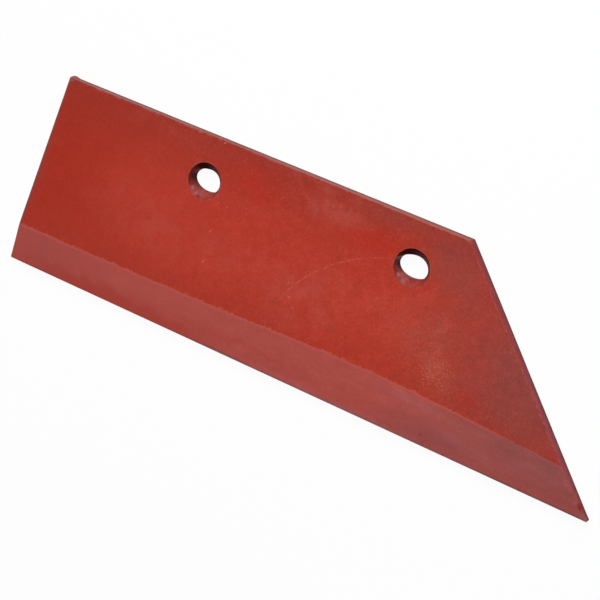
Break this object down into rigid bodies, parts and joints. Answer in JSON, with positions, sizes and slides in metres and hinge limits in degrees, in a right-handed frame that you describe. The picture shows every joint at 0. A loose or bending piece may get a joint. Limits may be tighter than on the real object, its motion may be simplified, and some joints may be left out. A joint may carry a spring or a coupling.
{
  "type": "plough share",
  "caption": "Flat steel plough share with a slanted point end, a bowed ground bevel along its cutting edge and countersunk slots for the plough bolts.",
  "frame": {"origin": "on the back face, midway between the centres of the two bolt slots", "axes": "+X along the cutting edge from the heel to the point, +Y from the cutting edge to the top edge, +Z out of the front face, which carries the bevel and the countersinks; the plate lies on its back face"},
  "size_m": [0.4562, 0.14, 0.01],
  "materials": {
    "red_paint": "thin worn satin paint over ground steel"
  },
  "bodies": {
    "root": {"share": "red_paint"}
  },
  "joints": []
}
